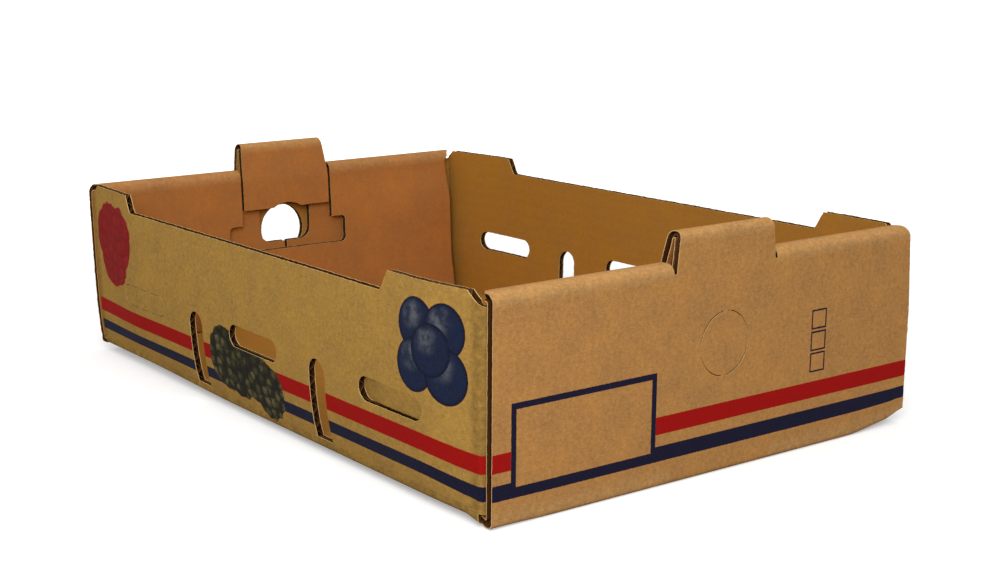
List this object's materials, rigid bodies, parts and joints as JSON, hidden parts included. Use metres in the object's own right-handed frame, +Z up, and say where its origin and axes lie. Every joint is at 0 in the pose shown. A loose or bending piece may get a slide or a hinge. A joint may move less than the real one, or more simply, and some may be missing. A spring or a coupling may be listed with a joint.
{
  "type": "cardboard tray box",
  "caption": "Open cardboard tray folded from one blank, with double end walls, stacking tabs and slotted side walls.",
  "frame": {"origin": "middle of the underside, on the surface that the tray stands on", "axes": "+X along the tray's length, towards the end wall that keeps its hand hole's disc, +Z up"},
  "size_m": [0.4, 0.28, 0.121],
  "materials": {
    "kraft_board": "matte brown kraft liner"
  },
  "bodies": {
    "root": {"folded_tray": "kraft_board"}
  },
  "joints": []
}
